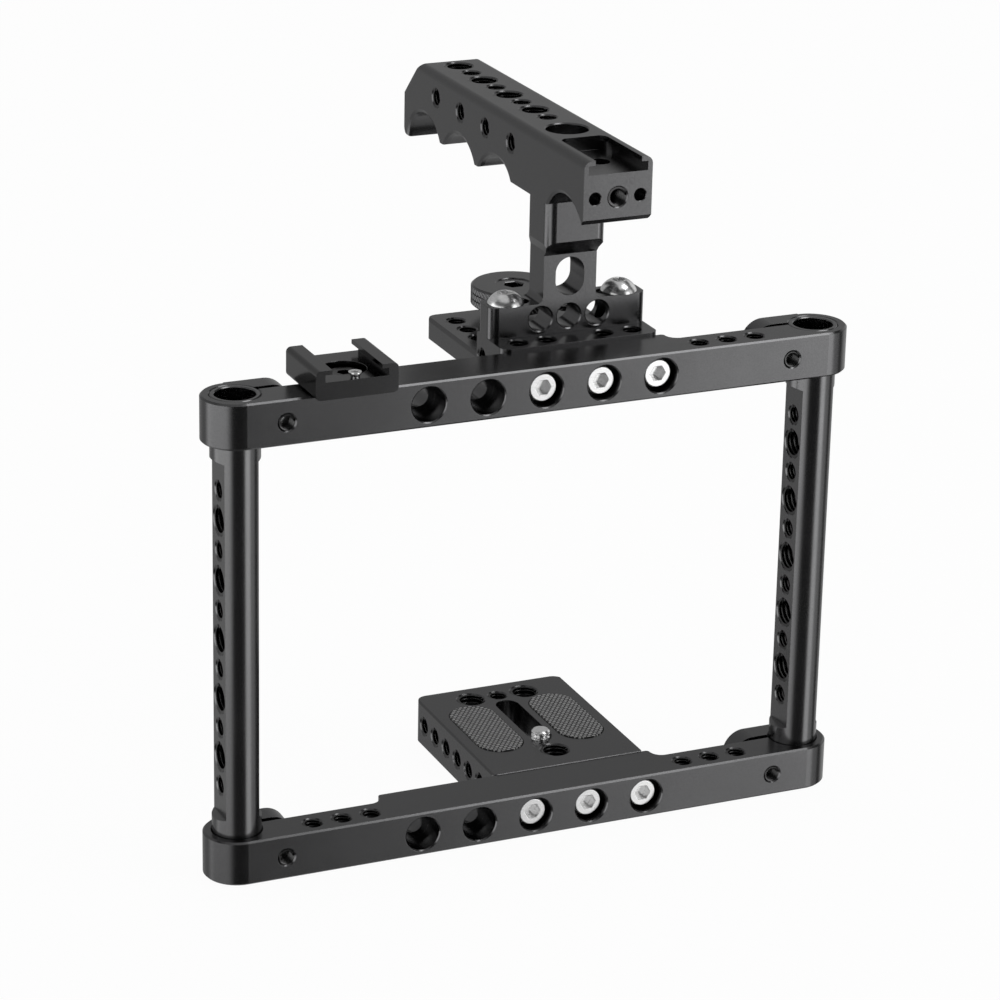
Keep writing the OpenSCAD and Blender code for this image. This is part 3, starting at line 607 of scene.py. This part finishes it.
def seamMesh():
    # the base plate's chamfered front edge, which shows beside the crossbar
    low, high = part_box("bottom_plate")
    half, inset = seam["half"] * mm, seam["inset"] * mm
    mesh = bmesh.new()
    ends = []
    for x in (low.x + inset, high.x - inset):
        ends.append(
            [mesh.verts.new((x, low.y - half, high.z)), mesh.verts.new((x, low.y + half, high.z)),
             mesh.verts.new((x, low.y, high.z + seam["rise"] * mm))]
        )
    mesh.faces.new(ends[0])
    mesh.faces.new(ends[1])
    for i in range(3):
        j = (i + 1) % 3
        mesh.faces.new((ends[0][i], ends[0][j], ends[1][j], ends[1][i]))
    return newPiece("basePlateSeam", mesh, "frame", blackFinish, False)


seamMesh()

cameraScrew = {
    "radius": 3.15,
    "pitch": 1.27,
    "head": 5.3,
    "headHeight": 3.2,
    "headEdge": 0.3,
    "slot": 1.6,
    "slotDepth": 1.5,
    "tip": 2.5,
    "tipEdge": 0.65,
    "tipStep": 0.3,
    "tipInset": 0.1,
    "segments": 48,
    "halfSteps": 24,
    "threadSegments": 40,
}


def cameraScrewMesh():
    low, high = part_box("camera_screw")
    middle = (low + high) / 2
    at = Matrix.Translation((middle.x, middle.y, low.z))
    height = (high.z - low.z) / mm
    size = cameraScrew
    root = size["radius"] - threadForm["depth"] * size["pitch"]
    tipBase = height - size["tipEdge"] - size["tipStep"]
    mesh = bmesh.new()
    rows = [
        (size["slotDepth"], size["head"]),
        (size["headHeight"] - size["headEdge"], size["head"]),
        (size["headHeight"], size["head"] - size["headEdge"]),
        (size["headHeight"], root),
        (tipBase, root),
        (tipBase, size["radius"] - size["tipInset"]),
        (height - size["tipEdge"], size["radius"]),
        (height, size["tip"]),
    ]
    rings = addTurned(mesh, at, rows, size["segments"])
    mesh.faces.new(rings[0])
    mesh.faces.new(rings[-1])
    # the head's two halves beside the coin slot
    reach = math.asin(size["slot"] / 2 / size["head"])
    for side in (0, math.pi):
        outline = []
        for i in range(size["halfSteps"] + 1):
            angle = side + reach + (math.pi - 2 * reach) * i / size["halfSteps"]
            outline.append((size["head"] * math.cos(angle), size["head"] * math.sin(angle)))
        bottom = [mesh.verts.new(at @ (Vector((x, y, 0)) * mm)) for x, y in outline]
        top = [mesh.verts.new(at @ (Vector((x, y, size["slotDepth"])) * mm)) for x, y in outline]
        mesh.faces.new(bottom)
        mesh.faces.new(top)
        for i in range(len(outline)):
            j = (i + 1) % len(outline)
            mesh.faces.new((bottom[i], bottom[j], top[j], top[i]))
    tipPlace = Vector((middle.x, middle.y, high.z)) / mm
    addThread(
        mesh, tipPlace, (0, 0, 1), size["radius"], height - size["headHeight"], size["pitch"],
        size["tipEdge"] + size["tipStep"], True, size["threadSegments"],
    )
    piece = newPiece("threadedCameraScrew", mesh, "camera_screw", steelLook)
    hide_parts("camera_screw")
    return piece


cameraScrewMesh()

stud = {"radius": 4.0, "neck": 2.0, "ball": 5.0, "pitch": 1.25, "segments": 40}


def studMesh():
    low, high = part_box("thumbscrew_stud")
    middle = (low + high) / 2
    at = Matrix.Translation((middle.x, middle.y, low.z))
    height = (high.z - low.z) / mm
    root = stud["radius"] - threadForm["depth"] * stud["pitch"]
    mesh = bmesh.new()
    rows = [
        (0, stud["neck"]),
        (stud["ball"], stud["neck"]),
        (stud["ball"], root),
        (height, root),
    ]
    rings = addTurned(mesh, at, rows, stud["segments"])
    mesh.faces.new(rings[0])
    mesh.faces.new(rings[-1])
    top = Vector((middle.x, middle.y, high.z)) / mm
    addThread(
        mesh, top, (0, 0, 1), stud["radius"], height - stud["ball"], stud["pitch"],
        outside=True, segments=stud["segments"],
    )
    piece = newPiece("threadedStud", mesh, "thumbscrew", steelLook)
    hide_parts("thumbscrew_stud")
    return piece


studMesh()
print("turned pieces made")


studio = {
    "middle": (0, 0.03, 0.12),
    "plain": 0.65,
    "unlit": 0.056,
    "boxes": [
        {"azimuth": -80, "half": 42, "soft": 12, "full": 0.30, "none": 0.55, "level": 1.6},
        {"azimuth": 37, "half": 12, "soft": 5, "full": 0.24, "none": 0.72, "level": 2.2},
        {"azimuth": 62, "half": 14, "soft": 6, "full": 0.40, "none": 0.70, "level": 0.55},
        {"azimuth": 115, "half": 20, "soft": 8, "full": 0.40, "none": 0.65, "level": 0.6},
        {"azimuth": 195, "half": 58, "soft": 7, "full": 0.70, "none": 0.90, "level": 0.30},
    ],
    "ceiling": {"none": 0.74, "full": 0.88, "level": 0.42},
    "floorHalf": 4,
    "floorDrop": 0.05 * mm,
    "floorTint": 0.98,
    "floorRoughness": 0.9,
    "floorColour": (0.86, 0.86, 0.86),
    "floorShow": 0.955,
    "lamps": [
        {"name": "topLamp", "azimuth": 55, "elevation": 58, "distance": 1.5, "size": (0.6, 0.6),
         "power": 3.6},
    ],
}


def mathNode(nodes, links, kind, first, *numbers):
    node = nodes.new("ShaderNodeMath")
    node.operation = kind
    for socket, value in enumerate((first, *numbers)):
        if isinstance(value, bpy.types.NodeSocket):
            links.new(value, node.inputs[socket])
        else:
            node.inputs[socket].default_value = value
    return node.outputs["Value"]


def smoothShare(nodes, links, source, nothing, full):
    ranged = nodes.new("ShaderNodeMapRange")
    ranged.interpolation_type = "SMOOTHSTEP"
    ranged.inputs["From Min"].default_value = nothing
    ranged.inputs["From Max"].default_value = full
    ranged.inputs["To Min"].default_value = 0.0
    ranged.inputs["To Max"].default_value = 1.0
    links.new(source, ranged.inputs["Value"])
    return ranged.outputs["Result"]


def studioBoxes(nodes, links):
    # what a shiny surface sees: soft boxes round the set, doubled below by its glossy table
    coords = nodes.new("ShaderNodeTexCoord")
    parts = nodes.new("ShaderNodeSeparateXYZ")
    links.new(coords.outputs["Generated"], parts.inputs["Vector"])
    away = mathNode(nodes, links, "MULTIPLY", parts.outputs["Y"], -1.0)
    around = mathNode(nodes, links, "ARCTAN2", parts.outputs["X"], away)
    height = mathNode(nodes, links, "ABSOLUTE", parts.outputs["Z"])
    total = None
    for box in studio["boxes"]:
        turned = mathNode(nodes, links, "SUBTRACT", around, math.radians(box["azimuth"]))
        wrapped = mathNode(nodes, links, "WRAP", turned, math.pi, -math.pi)
        aside = mathNode(nodes, links, "ABSOLUTE", wrapped)
        low, high = box["half"] - box["soft"], box["half"] + box["soft"]
        across = smoothShare(nodes, links, aside, math.radians(high), math.radians(low))
        up = smoothShare(nodes, links, height, box["none"], box["full"])
        share = mathNode(nodes, links, "MULTIPLY", across, up)
        level = mathNode(nodes, links, "MULTIPLY", share, box["level"])
        total = mathNode(nodes, links, "ADD", level, total if total else studio["unlit"])
    ceiling = studio["ceiling"]
    share = smoothShare(nodes, links, height, ceiling["none"], ceiling["full"])
    level = mathNode(nodes, links, "MULTIPLY", share, ceiling["level"])
    return mathNode(nodes, links, "ADD", level, total)


def studioWorld():
    world = bpy.data.worlds.new("studioWorld")
    bpy.context.scene.world = world
    world.use_nodes = True
    world.cycles.sampling_method = "NONE"
    nodes, links = world.node_tree.nodes, world.node_tree.links
    nodes.clear()
    output = nodes.new("ShaderNodeOutputWorld")
    path = nodes.new("ShaderNodeLightPath")
    shiny = mathNode(
        nodes, links, "MAXIMUM", path.outputs["Is Glossy Ray"], path.outputs["Is Transmission Ray"]
    )
    plain = nodes.new("ShaderNodeMix")
    plain.data_type = "FLOAT"
    plain.inputs["A"].default_value = studio["plain"]
    links.new(shiny, plain.inputs["Factor"])
    links.new(studioBoxes(nodes, links), plain.inputs["B"])
    level = nodes.new("ShaderNodeMix")
    level.data_type = "FLOAT"
    level.inputs["B"].default_value = 1.0
    links.new(path.outputs["Is Camera Ray"], level.inputs["Factor"])
    links.new(plain.outputs["Result"], level.inputs["A"])
    sky = nodes.new("ShaderNodeBackground")
    sky.inputs["Color"].default_value = (1, 1, 1, 1)
    links.new(level.outputs["Result"], sky.inputs["Strength"])
    links.new(sky.outputs["Background"], output.inputs["Surface"])


def studioFloor():
    mesh = bmesh.new()
    bmesh.ops.create_grid(mesh, x_segments=1, y_segments=1, size=studio["floorHalf"])
    data = bpy.data.meshes.new("floor")
    mesh.to_mesh(data)
    mesh.free()
    floor = bpy.data.objects.new("floor", data)
    floor.location = (0, 0, -studio["floorDrop"])
    floor.visible_glossy = False
    bpy.context.scene.collection.objects.link(floor)
    finish, nodes, links, shader = newFinish("paleFloor")
    tint = grain(nodes, links, 3.0)
    pale = studio["floorColour"]
    links.new(
        blendColours(nodes, links, tint, pale, tuple(studio["floorTint"] * c for c in pale)),
        shader.inputs["Base Color"],
    )
    shader.inputs["Roughness"].default_value = studio["floorRoughness"]
    glow = nodes.new("ShaderNodeEmission")
    path = nodes.new("ShaderNodeLightPath")
    share = mathNode(
        nodes, links, "MULTIPLY", path.outputs["Is Camera Ray"], studio["floorShow"]
    )
    mix = nodes.new("ShaderNodeMixShader")
    links.new(share, mix.inputs["Fac"])
    links.new(shader.outputs["BSDF"], mix.inputs[1])
    links.new(glow.outputs["Emission"], mix.inputs[2])
    links.new(mix.outputs["Shader"], nodes["Material Output"].inputs["Surface"])
    data.materials.append(finish)


def direction(azimuth, elevation):
    # azimuth 0 is the object's front, 90 its right
    around, up = math.radians(azimuth), math.radians(elevation)
    flat = math.cos(up)
    return Vector((math.sin(around) * flat, -math.cos(around) * flat, math.sin(up)))


def studioLamps():
    for lamp in studio["lamps"]:
        light = bpy.data.lights.new(lamp["name"], "AREA")
        light.shape = "RECTANGLE"
        light.size, light.size_y = lamp["size"]
        light.energy = lamp["power"]
        holder = bpy.data.objects.new(lamp["name"], light)
        towards = direction(lamp["azimuth"], lamp["elevation"])
        holder.location = Vector(studio["middle"]) + towards * lamp["distance"]
        holder.rotation_euler = towards.to_track_quat("Z", "Y").to_euler()
        bpy.context.scene.collection.objects.link(holder)


camera = {
    "azimuth": -22.463,
    "elevation": 19.186,
    "roll": -0.663,
    "place": (-0.45446, -0.98955, 0.52578),
    "lens": 130.71,
    "sensor": 36,
    "near": 0.05,
    "shift": (0.100, -0.100),
}


def photoCamera():
    away = direction(camera["azimuth"], camera["elevation"])
    right = (-away).cross(Vector((0, 0, 1))).normalized()
    above = right.cross(-away).normalized()
    basis = Matrix((right, above, away)).transposed().to_4x4()
    roll = Matrix.Rotation(math.radians(-camera["roll"]), 4, "Z")
    lens = bpy.data.cameras.new("photoCamera")
    lens.lens = camera["lens"]
    lens.sensor_width = camera["sensor"]
    lens.clip_start = camera["near"]
    lens.shift_x, lens.shift_y = camera["shift"]
    holder = bpy.data.objects.new("photoCamera", lens)
    holder.matrix_world = Matrix.Translation(camera["place"]) @ basis @ roll
    bpy.context.scene.collection.objects.link(holder)
    bpy.context.scene.camera = holder


studioWorld()
studioFloor()
studioLamps()
photoCamera()
bpy.context.scene.view_settings.view_transform = "Standard"
print("studio set")
